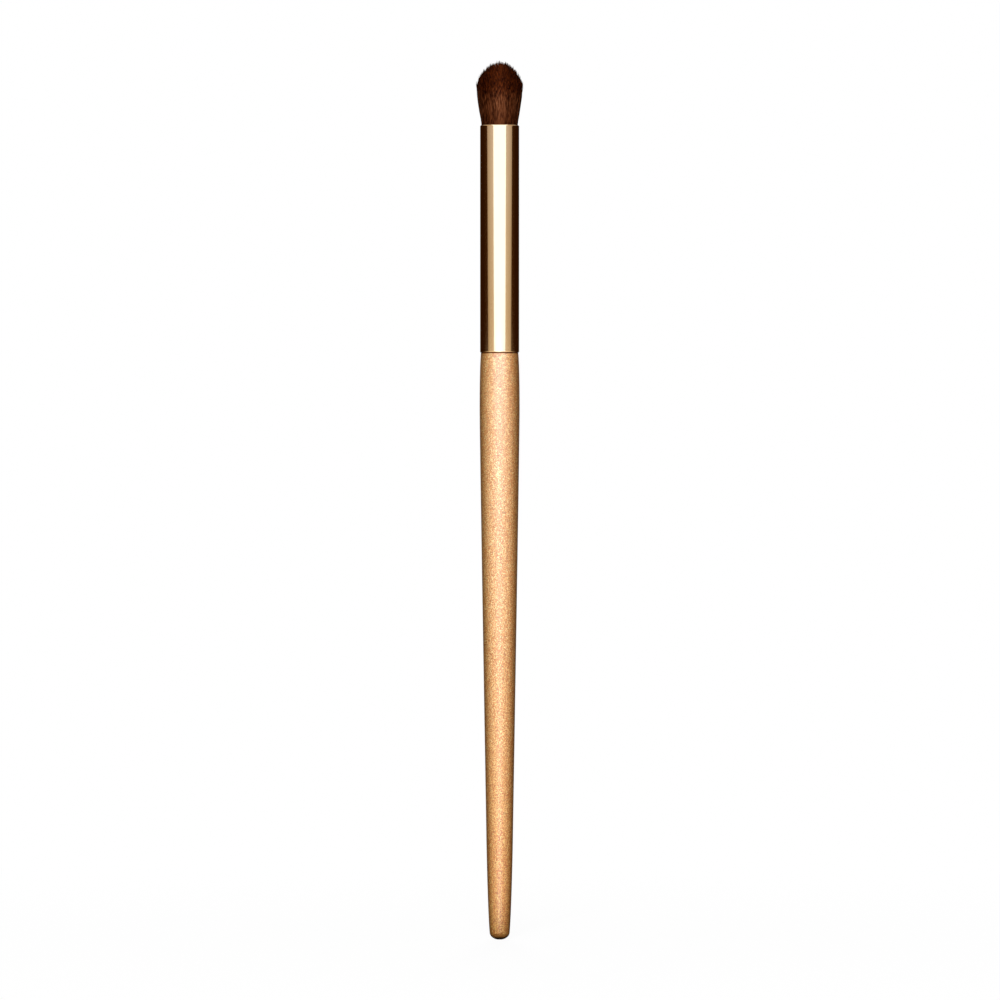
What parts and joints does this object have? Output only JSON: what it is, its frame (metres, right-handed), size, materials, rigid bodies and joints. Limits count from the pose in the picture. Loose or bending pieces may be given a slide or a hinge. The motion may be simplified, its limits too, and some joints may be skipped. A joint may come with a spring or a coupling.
{
  "type": "eyeshadow brush",
  "caption": "Slim cosmetic hand brush: a small domed tuft of brown filaments in a long smooth metal ferrule, on a tapered turned wooden handle.",
  "frame": {"origin": "centre of the small flat at the tail's end", "axes": "+Z runs along the brush, from the tail to the tip of the tuft; the brush is round, so +X and +Y are free"},
  "size_m": [0.0091, 0.0092, 0.1754],
  "materials": {
    "handle_wood": "pale fine-grained hardwood under satin varnish",
    "ferrule_metal": "polished, pale gold anodised",
    "filament": "soft-sheen synthetic filament",
    "thread": "resin-soaked thread",
    "resin": "cast clear-amber epoxy",
    "adhesive": "cured film"
  },
  "bodies": {
    "root": {"handle": "handle_wood", "ferrule": "ferrule_metal", "bristle_tuft": "filament", "binding_thread": "thread", "root_resin": "resin", "tenon_adhesive": "adhesive"}
  },
  "joints": []
}
